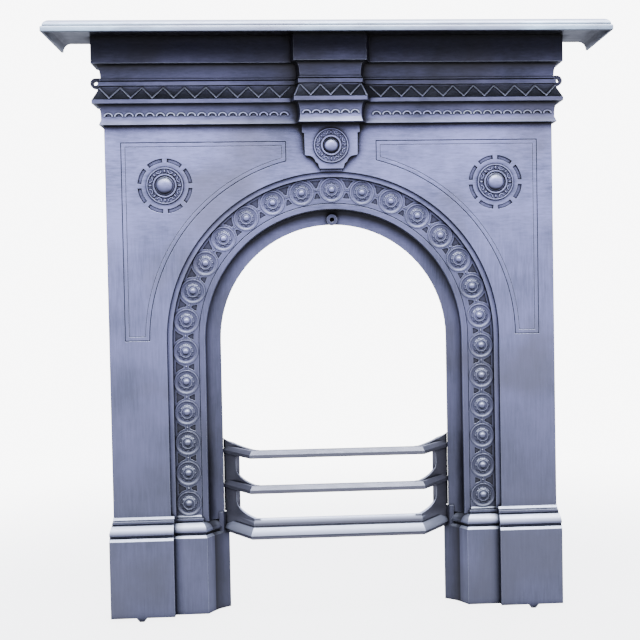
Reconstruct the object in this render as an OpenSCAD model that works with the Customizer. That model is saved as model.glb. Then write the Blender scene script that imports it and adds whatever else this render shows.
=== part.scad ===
// Arched cast-iron fireplace surround with its own mantel shelf and front bars.
// Millimetres, Z up, front toward -Y. The origin is on the floor, under the middle of the bounding box.
// Three castings: the surround, the shelf that lies on it and the bars that stand between its jambs.

/* [Overall] */
// Length of the mantel shelf
shelf_width = 862;  // [820:1:1000]
// Depth of the mantel shelf, from its front edge to the wall
shelf_depth = 150;  // [130:1:190]
// Height from the floor to the top of the shelf
overall_height = 934;  // [920:1:1150]
// Width of the face plate
body_width = 720;  // [680:1:860]
// Distance from the wall to the front of the face plate
plate_depth = 35;  // [32:1:50]
// Thickness of the cast walls
wall = 7;  // [5:0.5:8]
// Height of the four small cast feet
foot_height = 6;  // [4:0.5:12]
// Width of a foot
foot_width = 17;  // [12:0.5:24]
// Distance of the front feet from the middle
foot_x = 316;  // [300:1:345]

/* [Arch] */
// Height of the arch centre above the floor
spring_height = 446;  // [430:1:520]
// Half width of the opening at its back edge
opening_radius = 185;  // [160:1:186]
// Width of the flat lip around the opening
lip_width = 4.6;  // [3:0.1:6]
// Depth of the lip, from the wall forward
lip_depth = 5;  // [4:0.5:8]
// Width of the hollow moulding outside the lip
cove_width = 20.4;  // [16:0.1:26]
// Width of the plain ring outside the hollow
ring_width = 9.5;  // [6:0.1:14]
// Width of the band that carries the rosettes
band_width = 41.3;  // [38:0.1:46]
// Width of the narrow step around the band
step_width = 8.2;  // [5:0.1:12]
// Depth of the band below the face plate
band_depth = 11;  // [8:0.5:14]
// Depth of the narrow step below the face plate
step_depth = 5;  // [3:0.5:7]
// Number of rosettes on each side of the middle one
rosettes_each_side = 13;  // [9:1:13]
// Distance from rosette to rosette
rosette_pitch = 49.3;  // [46:0.1:52]
// Diameter of a rosette boss
rosette_diameter = 26;  // [20:0.5:34]
// Height of a rosette boss
rosette_height = 6.5;  // [4:0.5:10]
// Diameter of the hood screw hole at the crown
hood_hole_diameter = 8;  // [5:0.5:9]
// Diameter of the boss around that hole
hood_boss_diameter = 17.4;  // [15:0.1:20]

/* [Frieze] */
// Distance of the frieze base in front of the face plate
frieze_out = 5;  // [3:0.5:8]
// Height of the flat fascia under the shelf
fascia_height = 41.5;  // [34:0.5:50]
// Distance of the fascia in front of the frieze base
fascia_out = 15;  // [12:0.5:18]
// Height of the hollow below the fascia
cavetto_height = 22.5;  // [18:0.5:28]
// Height of the fillets below that hollow
fillet_height = 14;  // [12:0.5:18]
// Height of the sloping zigzag band
zigzag_height = 19.5;  // [16:0.5:24]
// Distance of the foot of the zigzag band in front of the frieze base
zigzag_out = 15;  // [12:0.5:18]
// Height of the fillet under the zigzag band
under_fillet_height = 6.5;  // [5:0.5:9]
// Height of the hollow with the small crescents
crescent_height = 32.5;  // [28:0.5:40]
// Half width of the middle console at its front
console_half = 46;  // [40:0.5:60]
// Distance of the console in front of the frieze
console_out = 20;  // [14:0.5:30]
// Amount by which each console side spreads toward the frieze
console_splay = 5.5;  // [2:0.5:8]
// Thickness of the flange that carries the shelf
flange_thick = 6;  // [5:0.5:8]

/* [Pendant shield and roundels] */
// Height of the shield below the console
shield_height = 72;  // [68:0.5:74]
// Half width of the shield at its top
shield_half = 46;  // [42:0.5:50]
// Distance of the shield in front of the face plate
shield_out = 9;  // [6:0.5:12]
// Diameter of the rosette on the shield
shield_rosette_diameter = 56;  // [48:0.5:60]
// Distance of each corner roundel from the middle
roundel_x = 266;  // [255:1:285]
// Height of the corner roundels above the arch centre
roundel_rise = 249;  // [240:1:262]
// Diameter of the raised part of a corner roundel
roundel_diameter = 59;  // [50:0.5:64]
// Mean diameter of the ring of sunk slots around a roundel
slot_ring_diameter = 81;  // [76:0.5:86]
// Width of the sunk slots
slot_width = 6.6;  // [4:0.1:8]

/* [Plinths] */
// Height of the plinth blocks below their cap mouldings
plinth_height = 123;  // [110:0.5:135]
// Height of the cap mouldings
cap_height = 35.5;  // [32:0.5:42]
// Distance of the outer block in front of the face plate
plinth_out = 18;  // [16:0.5:22]
// Overhang of the outer block past the side of the face plate
plinth_over = 5;  // [3:0.5:8]
// Step back from the outer block to the inner block
plinth_step = 12;  // [8:0.5:14]
// Overlap of the outer block past the line of the arch band
plinth_lap = 2.7;  // [1:0.1:4]
// Distance by which the plinth reveal stands into the opening
reveal_in = 7.5;  // [5:0.5:10]

/* [Fixing lugs] */
// Height of the lug holes below the underside of the shelf
lug_drop = 64.5;  // [60:0.5:75]
// Distance of each lug hole outside the side of the face plate
lug_out = 16;  // [14:0.5:20]
// Diameter of the lugs
lug_diameter = 17;  // [15:0.5:22]
// Diameter of the lug holes
lug_hole_diameter = 6.5;  // [5:0.5:8]
// Thickness of the lugs
lug_thick = 8;  // [6:0.5:10]

/* [Mantel shelf] */
// Thickness of the shelf plate
shelf_thick = 6.5;  // [5:0.5:8]
// Height of the moulded rim
rim_height = 20;  // [18:0.5:26]
// Width of the moulded rim
rim_width = 16;  // [14:0.5:20]
// Height of the bead at the foot of the rim
bead_height = 8.5;  // [6:0.5:10]

/* [Front bars] */
// Distance of the bars in front of the face plate
bars_out = 42;  // [30:1:55]
// Half length of the straight run of the bars
bars_half = 138.5;  // [120:0.5:145]
// Height of the top bar's upper edge below the arch centre
top_bar_drop = 174;  // [165:1:178]
// Height of a bar
bar_height = 12;  // [9:0.5:14]
// Depth of a bar, front to back
bar_depth = 13;  // [12:0.5:16]
// Drop from the top bar to the middle bar
bar_pitch = 56;  // [50:0.5:58]
// Height of the moulded bottom bar
bottom_bar_height = 32;  // [28:0.5:34]
// Length of each cheek plate along its slant
cheek_length = 38;  // [30:0.5:44]
// Clearance between the bars and the jambs
bars_gap = 0.3;  // [0.2:0.1:0.6]

/* [Hidden] */
$fn = 96;
back_y = shelf_depth / 2;
face_y = back_y - plate_depth;
body_half = body_width / 2;
shelf_half = shelf_width / 2;

shelf_under = overall_height - shelf_thick;
fascia_foot = shelf_under - fascia_height;
cavetto_foot = fascia_foot - cavetto_height;
zigzag_top = cavetto_foot - fillet_height;
zigzag_foot = zigzag_top - zigzag_height;
under_fillet_foot = zigzag_foot - under_fillet_height;
frieze_foot = under_fillet_foot - crescent_height;

cove_radius = opening_radius + lip_width + cove_width;
band_inner = cove_radius + ring_width;
band_outer = band_inner + band_width;
step_outer = band_outer + step_width;
rosette_radius = (band_inner + band_outer) / 2;

plinth_foot = foot_height;
cap_foot = plinth_foot + plinth_height;
cap_top = cap_foot + cap_height;
outer_y = face_y - plinth_out;
inner_y = outer_y + plinth_step;
block_x = band_outer + plinth_lap;
plinth_x = body_half + plinth_over;
reveal_x = opening_radius - reveal_in;

shield_foot = frieze_foot - shield_height;
hood_radius = opening_radius + hood_boss_diameter / 2 - 1;
hood_web = 3;

bars_y = face_y - bars_out;
top_bar_top = spring_height - top_bar_drop;
middle_bar_top = top_bar_top - bar_pitch;
bottom_bar_top = cap_top - 1.5;
bottom_bar_foot = bottom_bar_top - bottom_bar_height;
joint_x = opening_radius - bars_gap;
joint_y = back_y - 5;

// Plan geometry: a path runs with its outer side on the right hand
function unit(v) = v / norm(v);
function side(a, b) = let (d = unit(b - a)) [d[1], -d[0]];
function bisect(m, n) = (m + n) / (1 + m * n);
function corner(path, i) =
    i == 0 ? side(path[0], path[1]) :
    i == len(path) - 1 ? side(path[i - 1], path[i]) :
    bisect(side(path[i - 1], path[i]), side(path[i], path[i + 1]));
function shifted(path, by) = [for (i = [0 : len(path) - 1]) path[i] + by * corner(path, i)];
function reversed(list) = [for (i = [len(list) - 1 : -1 : 0]) list[i]];
function mirrored(path) = reversed([for (p = path) [-p[0], p[1]]]);

// A quarter of an ellipse about a centre, from one angle to another
function arc(c, rx, ry, from, to, steps) =
    [for (i = [0 : steps]) let (t = from + (to - from) * i / steps) c + [rx * cos(t), ry * sin(t)]];

// A closed section (projection, height) swept along a plan path with mitred corners
module swept(path, section, low, high, inner, outer) {
    for (i = [0 : len(path) - 2]) {
        a = path[i];
        b = path[i + 1];
        d = unit(b - a);
        n = side(a, b);
        m0 = corner(path, i);
        m1 = corner(path, i + 1);
        intersection() {
            translate([b[0] + 40 * d[0], b[1] + 40 * d[1], 0])
                rotate([90, 0, atan2(n[1], n[0])])
                    linear_extrude(norm(b - a) + 80)
                        polygon(section);
            translate([0, 0, low - 5])
                linear_extrude(high - low + 10)
                    polygon([a - inner * m0, b - inner * m1, b + outer * m1, a + outer * m0]);
        }
    }
}

// A plate parallel to the wall, from the depth y on, drawn as an outline in X and Z
module upright(y, thick) {
    translate([0, y + thick, 0])
        rotate([90, 0, 0])
            linear_extrude(thick)
                children();
}

// A turned ornament facing the front, its base at the depth y
module turned(x, y, z, section) {
    translate([x, y, z])
        rotate([90, 0, 0])
            rotate_extrude($fn = 48)
                polygon(section);
}

// The outline of the arch at a given distance from its centre, down to a given height
module arch_outline(r, foot) {
    translate([0, spring_height])
        circle(r);
    translate([-r, foot])
        square([2 * r, spring_height - foot]);
}

// Place of a rosette along the arch and down the jambs, counted from the crown
function rosette_place(k) =
    let (s = abs(k) * rosette_pitch, quarter = rosette_radius * 90 * PI / 180)
    s <= quarter ?
        [sign(k) * rosette_radius * sin(s / rosette_radius * 180 / PI),
         spring_height + rosette_radius * cos(s / rosette_radius * 180 / PI)] :
        [sign(k) * rosette_radius, spring_height - (s - quarter)];

frieze_y = face_y - frieze_out;
console_y = frieze_y - console_out;
frieze_path = [
    [-body_half, back_y],
    [-body_half, frieze_y],
    [-console_half - console_splay, frieze_y],
    [-console_half, console_y],
    [console_half, console_y],
    [console_half + console_splay, frieze_y],
    [body_half, frieze_y],
    [body_half, back_y]
];

// Section of the frieze: the front line from the top down, then the hollow back
frieze_section = concat(
    [[fascia_out, shelf_under], [fascia_out, fascia_foot]],
    [[fascia_out - 5, fascia_foot - 0.8]],
    arc([fascia_out - 5, cavetto_foot], fascia_out - 7.5, cavetto_height - 1, 90, 180, 8),
    [[4, cavetto_foot - 0.5], [4, cavetto_foot - 2.5], [2.5, cavetto_foot - 3.5],
     [6, cavetto_foot - 5], [6, cavetto_foot - 11], [4, cavetto_foot - 12.5],
     [4, zigzag_top], [zigzag_out - 0.8, zigzag_foot], [zigzag_out, zigzag_foot - 0.8],
     [zigzag_out, under_fillet_foot], [zigzag_out - 5, under_fillet_foot - 0.8]],
    arc([zigzag_out - 5, under_fillet_foot - 18], zigzag_out - 8, 17, 90, 180, 8),
    [[3, frieze_foot + 8], [4.5, frieze_foot + 4], [6, frieze_foot],
     [-frieze_out - wall - 2, frieze_foot], [-frieze_out - wall - 2, frieze_foot + wall],
     [-wall + 2.5, frieze_foot + wall], [-wall + 2.5, under_fillet_foot - 14],
     [zigzag_out - wall - 3, under_fillet_foot], [zigzag_out - wall - 3, zigzag_foot + 2],
     [-wall + 2.5, zigzag_top + 3], [-wall + 2.5, cavetto_foot + 3],
     [-wall + 4, fascia_foot - 5], [fascia_out - wall, fascia_foot + 3],
     [fascia_out - wall, shelf_under - flange_thick - 2], [-10, shelf_under - flange_thick],
     [-10, shelf_under]]
);

plinth_path = concat(
    [[-plinth_x, back_y], [-plinth_x, outer_y], [-block_x, outer_y], [-block_x, inner_y]],
    [[-cove_radius - 1, inner_y]],
    [[-reveal_x - 24, inner_y + 17], [-reveal_x - 18, inner_y + 26],
     [-reveal_x - 9, inner_y + 34], [-reveal_x, back_y]]
);

// Section of the plinth cap, measured from the plain face of the block
cap_back = plinth_out;
cap_front = [
    [0, cap_foot], [-3, cap_foot + 4], [-6, cap_foot + 4.5], [-6, cap_foot + 7.5],
    [-2, cap_foot + 9], [-2, cap_foot + 10], [-3.2, cap_foot + 14.5], [-6, cap_foot + 19],
    [-10.5, cap_foot + 23], [-13.5, cap_foot + 23.6], [-13.5, cap_foot + 25.4], [-12, cap_foot + 26],
    [-12, cap_foot + 29.5], [-15, cap_foot + 30.2], [-15, cap_foot + 31.9], [-cap_back, cap_top]
];
cap_section = concat(cap_front,
    [[-cap_back - wall, cap_top], [-cap_back - wall, cap_foot + 14], [-wall, cap_foot]]);

// A form that runs along the front, between two places, from a section in depth and height
module along(x0, x1, section) {
    translate([x0, 0, 0])
        rotate([90, 0, 90])
            linear_extrude(x1 - x0)
                polygon(section);
}

// The hollow cap of the outer block, with straight mouldings and a chamfered outer end
module outer_cap() {
    difference() {
        intersection() {
            along(-plinth_x, -block_x, concat([for (p = cap_front) [outer_y - p[0], p[1]]],
                [[back_y, cap_top], [back_y, cap_foot]]));
            upright(outer_y - 2, back_y - outer_y + 4)
                polygon([[-plinth_x - 1, cap_foot - 2], [-plinth_x - 1, cap_foot + 8.4],
                         [-body_half - 0.6, cap_top - 4], [-body_half - 0.6, cap_top + 2],
                         [-block_x + 5, cap_top + 2], [-block_x + 5, cap_foot - 2]]);
        }
        along(-plinth_x + wall, -block_x - wall,
            [[outer_y + wall, cap_foot - 1], [outer_y + wall, cap_foot], [face_y + wall, cap_foot + 14],
             [face_y + wall, cap_top + 1], [back_y + 1, cap_top + 1], [back_y + 1, cap_foot - 1]]);
        translate([-block_x - wall - 1, face_y + wall + 9, cap_foot - 1])
            cube([wall + 5, plate_depth, cap_height + 2]);
    }
}

// One plinth, at the left hand
module plinth() {
    intersection() {
        union() {
            translate([0, 0, plinth_foot])
                linear_extrude(plinth_height)
                    polygon(concat(plinth_path, reversed(shifted(plinth_path, -wall))));
            outer_cap();
            swept(concat([[-block_x - 3, inner_y]], [for (i = [4 : 8]) plinth_path[i]]),
                cap_section, cap_foot, cap_top, cap_back + wall + 1, 2);
            translate([0, 0, cap_foot + 1.5])
                linear_extrude(cap_height - 2.3)
                    polygon([[-reveal_x - 0.3, back_y - 0.3], [-reveal_x - 9.2, inner_y + 34.2],
                             [-reveal_x - 16, inner_y + 34.2], [-reveal_x - 16, back_y - 0.3]]);
        }
        translate([-plinth_x, outer_y - 1, 0])
            cube([plinth_x, back_y - outer_y + 1, cap_top]);
    }
    upright(outer_y, wall)
        foot_outline(-foot_x);
    translate([-plinth_x, 0, 0])
        rotate([90, 0, 90])
            linear_extrude(wall)
                foot_outline(back_y - foot_width / 2);
}

// Outline of a small cast foot under a wall of the plinth
module foot_outline(at) {
    polygon([[at - foot_width / 2, plinth_foot + 1], [at - foot_width / 2, plinth_foot],
             [at - 3.5, 0], [at + 3.5, 0],
             [at + foot_width / 2, plinth_foot], [at + foot_width / 2, plinth_foot + 1]]);
}

// Section of the arch and jambs: distance from the middle, depth behind the face plate
function band_section() = concat(
    [[step_outer + 6, step_depth], [band_outer, step_depth], [band_outer, band_depth],
     [band_inner, band_depth], [band_inner - 0.8, band_depth + 1],
     [band_inner - 1.6, band_depth], [cove_radius, band_depth]],
    arc([cove_radius - cove_width, band_depth + 1.5], cove_width - 1.5,
        plate_depth - lip_depth - band_depth - 1.5, 0, 90, 10),
    [[opening_radius, plate_depth - lip_depth], [opening_radius, plate_depth],
     [opening_radius + lip_width + 6, plate_depth],
     [cove_radius - 1.5, plate_depth - 9], [cove_radius + 5, band_depth + wall],
     [step_outer - 1, band_depth + wall], [step_outer + 6, step_depth + wall]]
);

module face_plate() {
    upright(face_y, wall)
        difference() {
            translate([-body_half, cap_top - 12])
                square([body_width, frieze_foot + 4 - cap_top + 12]);
            arch_outline(step_outer, cap_top - 20);
        }
    for (x = [-body_half, body_half - wall])
        translate([x, face_y, cap_foot])
            cube([wall, plate_depth, frieze_foot + 4 - cap_foot]);
}

module arch_band() {
    section = band_section();
    translate([0, 0, spring_height])
        rotate([90, 0, 0])
            rotate_extrude(angle = 180)
                polygon([for (p = section) [p[0], -face_y - p[1]]]);
    for (flip = [0, 1])
        mirror([flip, 0, 0])
            translate([0, 0, cap_top - 12])
                linear_extrude(spring_height - cap_top + 12)
                    polygon([for (p = section) [p[0], face_y + p[1]]]);
}

// The boss of a small rosette: a domed disc with a ball in its middle
module rosette(x, z) {
    r = rosette_diameter / 2;
    h = rosette_height;
    turned(x, face_y + band_depth + 1, z, concat(
        [[0, 0], [r, 0], [r, 2]],
        arc([0, 1], r - 1, h * 0.55, 15, 62, 4),
        arc([0, h * 0.62], 5.3, h * 0.5, 10, 78, 4),
        [[0, h * 0.62 + h * 0.5 * sin(78)]]));
}

// Section of a larger turned ornament: rim, dished ring, inner ring and ball
function boss_section(r, ring, ball, height) = concat(
    [[0, -1], [r, -1], [r, 2.4], [r - 0.8, 3.4], [r - 2, 3.4], [r - 3, 1.6],
     [ring + 2, 1.6], [ring + 1, 4.6], [ring - 1, 4.6], [ring - 2, 2.5]],
    arc([0, 2.5], ball, height - 2.5, 8, 82, 6),
    [[0, 2.5 + (height - 2.5) * sin(82)]]);

module corner_roundel(x) {
    turned(x, face_y, spring_height + roundel_rise,
        boss_section(roundel_diameter / 2, 17.7, 13.5, 9.5));
}

// Eight sunk slots in a ring around a corner roundel
module roundel_slots(x) {
    translate([x, face_y + 2.5, spring_height + roundel_rise])
        rotate([90, 0, 0])
            for (i = [0 : 7])
                rotate([0, 0, 45 * i + 5])
                    rotate_extrude(angle = 35)
                        translate([(slot_ring_diameter - slot_width) / 2, 0])
                            square([slot_width, 5]);
}

// Outline of the pendant shield, one half from the top down
shield_side = concat(
    [[shield_half, frieze_foot + 1], [shield_half, frieze_foot - 14], [shield_half - 3.5, frieze_foot - 15],
     [shield_half - 4, shield_foot + 22], [shield_half - 7.5, shield_foot + 21]],
    arc([shield_half - 8, shield_foot + 9], 13, 12, 100, 170, 5),
    [[shield_half - 25, shield_foot + 8], [shield_half - 25.5, shield_foot + 5],
     [shield_half - 27.5, shield_foot]]
);

module pendant_shield() {
    upright(face_y - shield_out, shield_out + 1)
        polygon(concat(shield_side, reversed([for (p = shield_side) [-p[0], p[1]]])));
    turned(0, face_y - shield_out, shield_foot + 36.5,
        boss_section(shield_rosette_diameter / 2, 15, 11.5, 9));
    upright(face_y - 3, 4)
        polygon([[-17, shield_foot - 4], [17, shield_foot - 4], [17, shield_foot + 1], [-17, shield_foot + 1]]);
}

module frieze() {
    swept(frieze_path, frieze_section, frieze_foot, shelf_under, 16, 20);
    translate([0, 0, frieze_foot + 1])
        linear_extrude(wall - 2)
            polygon([[-console_half - console_splay, face_y + 1], [-console_half - console_splay, frieze_y],
                     [-console_half, console_y], [console_half, console_y],
                     [console_half + console_splay, frieze_y], [console_half + console_splay, face_y + 1]]);
}

// A pierced fixing lug on the side of the frieze, flat against the wall
module fixing_lug(hand) {
    x = hand * (body_half + lug_out);
    z = shelf_under - lug_drop;
    upright(back_y - lug_thick, lug_thick) {
        translate([x, z])
            circle(lug_diameter / 2);
        translate([min(x, hand * (body_half - 1)), z - lug_diameter / 2])
            square([lug_out + 1, lug_diameter]);
    }
}

module surround() {
    color("dimgray")
        difference() {
            union() {
                face_plate();
                arch_band();
                frieze();
                pendant_shield();
                corner_roundel(-roundel_x);
                corner_roundel(roundel_x);
                for (k = [-rosettes_each_side : rosettes_each_side])
                    let (p = rosette_place(k))
                        rosette(p[0], p[1]);
                plinth();
                mirror([1, 0, 0])
                    plinth();
                fixing_lug(-1);
                fixing_lug(1);
                upright(back_y - 11 - hood_web, 11 + hood_web)
                    translate([0, spring_height + hood_radius])
                        circle(hood_boss_diameter / 2);
            }
            roundel_slots(-roundel_x);
            roundel_slots(roundel_x);
            for (hand = [-1, 1])
                translate([hand * (body_half + lug_out), back_y + 1, shelf_under - lug_drop])
                    rotate([90, 0, 0])
                        cylinder(h = lug_thick + 30, d = lug_hole_diameter);
            translate([0, back_y - hood_web, spring_height + hood_radius])
                rotate([90, 0, 0])
                    cylinder(h = 40, d = hood_hole_diameter);
        }
}

// Section of the shelf rim, measured inward from its front edge and up from its foot
rim_foot = overall_height - rim_height;
rim_section = concat(
    [[-4, rim_foot], [-0.8, rim_foot], [0, rim_foot + 0.8], [0, rim_foot + bead_height - 1.5],
     [-1, rim_foot + bead_height], [-2.5, rim_foot + bead_height], [-2.5, rim_foot + bead_height + 1]],
    arc([-rim_width, rim_foot + bead_height + 1], rim_width - 2.5, rim_height - bead_height - 1, 0, 90, 8),
    [[-rim_width - 12, overall_height], [-rim_width - 12, shelf_under]],
    arc([-rim_width, rim_foot], rim_width - 4, shelf_under - rim_foot, 90, 0, 6)
);

module mantel_shelf() {
    color("lightsteelblue") {
        swept([[-shelf_half, back_y], [-shelf_half, -back_y], [shelf_half, -back_y], [shelf_half, back_y]],
            rim_section, rim_foot, overall_height, 40, 2);
        translate([-shelf_half + rim_width, -back_y + rim_width, shelf_under])
            cube([shelf_width - 2 * rim_width, shelf_depth - rim_width, shelf_thick]);
    }
}

// The slanted ends run from the front corners to the lip of the jambs, and a little into them
bars_joint = [joint_x, joint_y];
bars_end = bars_joint + 11 * unit(bars_joint - [bars_half, bars_y]);
bars_path = [
    [-bars_end[0], bars_end[1]], [-bars_half, bars_y], [bars_half, bars_y], bars_end
];

// Section of a plain bar: a sloping top, a nose and a flat underside
function bar_section(top) = [
    [-bar_depth, top], [-5, top], [0, top - bar_height * 0.5], [0, top - bar_height + 1],
    [-1, top - bar_height], [-bar_depth, top - bar_height]
];

// Section of the bottom bar, with the same mouldings as the plinth caps
bottom_section = let (z = bottom_bar_top) [
    [-bar_depth - 3, z], [-13, z], [-9.5, z - 4], [-8, z - 8], [-8, z - 11],
    [-9, z - 11.6], [-9, z - 13.4], [-7, z - 14], [-4, z - 18], [-1.2, z - 22.5],
    [0, z - 26], [-2, z - 26.4], [-2, z - bottom_bar_height + 1],
    [-3, z - bottom_bar_height], [-bar_depth - 3, z - bottom_bar_height]
];

// The cheeks and the swellings are a web behind the noses of the bars, drawn in plan at the left hand
bars_side = side(bars_path[0], bars_path[1]);
web_in = 9.5;
web_front = shifted(bars_path, -web_in);
web_back = shifted(bars_path, -web_in - wall);
cheek_front = bars_path[0] + (cheek_length - 3) * unit(bars_path[1] - bars_path[0]) - web_in * bars_side;
cheek_back = cheek_front - wall * bars_side;
cheek_x = -cheek_front[0];

// Outline of the swelling that rises from a bar to its cheek, in X and Z
function haunch(top, foot, rise, end) = let (start = bars_half - 14) concat(
    [[-start, foot], [-start, top]],
    arc([-start, top + rise], start - end, rise, -90, 0, 8),
    [[-joint_x - 6, top + rise], [-joint_x - 6, foot]]
);

// Outline of the small fillet under a bar
function under_fillet(foot) = concat(
    [[-cheek_x - 3, foot + 1], [-cheek_x + 6, foot + 1]],
    arc([-cheek_x + 6, foot - 6], -6, 6, 90, 0, 4),
    [[-cheek_x - 3, foot - 6]]
);

// The web at the left hand
module bars_web() {
    intersection() {
        translate([0, 0, bottom_bar_foot])
            linear_extrude(top_bar_top + 20 - bottom_bar_foot)
                polygon([bars_path[0], cheek_front, web_front[1], [-60, web_front[1][1]],
                         [-60, web_back[1][1]], web_back[1], web_back[0]]);
        upright(bars_y - 5, back_y - bars_y + 10) {
            polygon(haunch(top_bar_top, top_bar_top - 4, 18, joint_x + 3));
            polygon(haunch(middle_bar_top, middle_bar_top - 4, 19, cheek_x - 1));
            polygon(under_fillet(top_bar_top - bar_height));
            polygon(under_fillet(middle_bar_top - bar_height));
        }
    }
    intersection() {
        translate([0, 0, bottom_bar_foot])
            linear_extrude(top_bar_top - bottom_bar_foot)
                polygon([web_front[0], web_front[1], [-60, web_front[1][1]],
                         [-60, web_back[1][1]], web_back[1], web_back[0]]);
        upright(bars_y - 5, back_y - bars_y + 10)
            polygon(haunch(bottom_bar_top, bottom_bar_top - 10, 19, cheek_x - 1));
    }
    translate([0, 0, bottom_bar_top - 17])
        linear_extrude(top_bar_top - bottom_bar_top + 15)
            polygon([bars_path[0], cheek_front, cheek_back, web_back[0]]);
}

module front_bars() {
    color("gray")
        difference() {
            union() {
                swept(bars_path, bar_section(top_bar_top), top_bar_top - bar_height, top_bar_top, 24, 2);
                swept(bars_path, bar_section(middle_bar_top), middle_bar_top - bar_height, middle_bar_top, 24, 2);
                swept(bars_path, bottom_section, bottom_bar_foot, bottom_bar_top, 24, 2);
                for (flip = [0, 1])
                    mirror([flip, 0, 0])
                        bars_web();
            }
            for (hand = [-1, 1])
                translate([hand * (joint_x + 50) - 50, bars_y, cap_top + bars_gap])
                    cube([100, back_y - bars_y + 50, 400]);
            for (flip = [0, 1])
                mirror([flip, 0, 0])
                    linear_extrude(cap_top + bars_gap)
                        polygon(concat(shifted(plinth_path, bars_gap), [[-reveal_x + bars_gap, back_y + 60],
                            [-plinth_x, back_y + 60]]));
            translate([-shelf_half, back_y, 0])
                cube([shelf_width, 60, overall_height]);
        }
}

surround();
mantel_shelf();
front_bars();
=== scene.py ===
"""An arched cast-iron fireplace surround with its mantel shelf and front bars.

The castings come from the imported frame. The fine relief of the casting, such as the rings round
the rosettes, the zigzag, the crescents and the panel lines, is modelled here, and so are the iron's
finish, the studio and the camera.
"""

import math

import bmesh
import bpy
from mathutils import Matrix, Vector


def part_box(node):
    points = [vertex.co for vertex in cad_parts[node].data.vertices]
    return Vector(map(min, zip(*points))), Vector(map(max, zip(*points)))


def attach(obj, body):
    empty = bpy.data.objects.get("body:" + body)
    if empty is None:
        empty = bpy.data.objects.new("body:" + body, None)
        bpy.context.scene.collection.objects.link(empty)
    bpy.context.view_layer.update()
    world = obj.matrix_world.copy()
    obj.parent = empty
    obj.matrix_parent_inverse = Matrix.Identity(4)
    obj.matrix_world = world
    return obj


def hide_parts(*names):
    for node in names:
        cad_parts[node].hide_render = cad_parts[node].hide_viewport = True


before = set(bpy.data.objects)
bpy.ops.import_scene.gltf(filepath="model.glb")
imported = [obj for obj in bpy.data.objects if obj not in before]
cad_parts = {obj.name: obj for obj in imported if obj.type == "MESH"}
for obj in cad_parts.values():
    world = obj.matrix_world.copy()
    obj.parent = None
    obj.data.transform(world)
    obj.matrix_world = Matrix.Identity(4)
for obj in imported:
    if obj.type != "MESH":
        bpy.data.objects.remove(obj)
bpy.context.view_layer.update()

bl_info = {
    "name": "Cast-iron fireplace surround",
    "version": (1, 0, 0),
    "blender": (4, 5, 0),
    "location": "View3D > Sidebar > Fireplace",
    "description": "Builds an arched cast-iron fireplace surround round its CAD frame",
    "category": "Object",
}

MM = 0.001
SURROUND_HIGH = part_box("surround")[1]

# Levels and depths of the casting, in metres, as the frame has them
BACK_Y = SURROUND_HIGH.y
FACE_Y = BACK_Y - 35 * MM
BAND_Y = FACE_Y + 11 * MM
FRIEZE_Y = FACE_Y - 5 * MM
CONSOLE_Y = FRIEZE_Y - 20 * MM
SHIELD_Y = FACE_Y - 9 * MM
SPRING_Z = 446 * MM
BODY_HALF = 360 * MM
CONSOLE_HALF = 46 * MM
CONSOLE_FOOT_HALF = 51.5 * MM
ZIGZAG_TOP_Z = SURROUND_HIGH.z - 78 * MM
ZIGZAG_FOOT_Z = ZIGZAG_TOP_Z - 19.5 * MM
CRESCENT_Z = SURROUND_HIGH.z - 123.5 * MM
FRIEZE_FOOT_Z = SURROUND_HIGH.z - 136.5 * MM
ROSETTE_ARC = 240.15 * MM
ROSETTE_PITCH = 49.3 * MM
ROSETTES_EACH_SIDE = 13
ROUNDEL_X = 266 * MM
ROUNDEL_Z = SPRING_Z + 249 * MM
SHIELD_ROSETTE_Z = SURROUND_HIGH.z - 172 * MM

# Incised lines of a spandrel panel: widths, distance between them, and depth of the finer one
PANEL_LINE_WIDTH = 1.5 * MM
FINE_LINE_WIDTH = 0.9 * MM
FINE_LINE_INSET = 6.8 * MM
FINE_LINE_SHARE = 0.45

# Round wire of the half rings, and how much lower than a true half circle they are
CRESCENT_TUBE = 1.7 * MM
CRESCENT_SQUASH = 0.85
LEAF_TUBE = 1.3 * MM
LEAF_SQUASH = 0.9

# Angles in degrees past which an edge is shaded sharp
CASTING_SHARP = 35
CUT_SHARP = 30
ORNAMENT_SHARP = 50

# Distances in metres under which points are one
CAD_MERGE = 1e-7
SHAPE_MERGE = 1e-6

# Brush strokes per metre in X, Y and Z, running up the work and across it
UPRIGHT_STROKES = (330, 60, 26)
LEVEL_STROKES = (60, 60, 330)

# Reach of the hollows that are painted dark, partly for their polish and partly as painted shade,
# and of the painted shade under the shelf
HOLLOW_REACH = 16 * MM
SHELTER_REACH = 150 * MM

# A height above the whole surround, in metres
ABOVE_ALL = 2

# Brightness at which the backdrop shows as nearly white
BACKDROP_GLOW = 9
FLOOR_RADIUS = 9

# The camera: place, lens and sensor in millimetres, sideways shift, and turns in degrees
CAMERA_PLACE = (-54.9 * MM, -1767.1 * MM, 528.8 * MM)
CAMERA_LENS, CAMERA_SENSOR, CAMERA_SHIFT = 62.9, 36, -0.08
CAMERA_YAW, CAMERA_PITCH, CAMERA_ROLL = 3.634, -1.72, -1.022


def linear(text):
    """The linear colour of an sRGB hex value."""
    parts = [int(text[i:i + 2], 16) / 255 for i in (1, 3, 5)]
    return [c / 12.92 if c <= 0.04045 else ((c + 0.055) / 1.055) ** 2.4 for c in parts]


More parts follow.
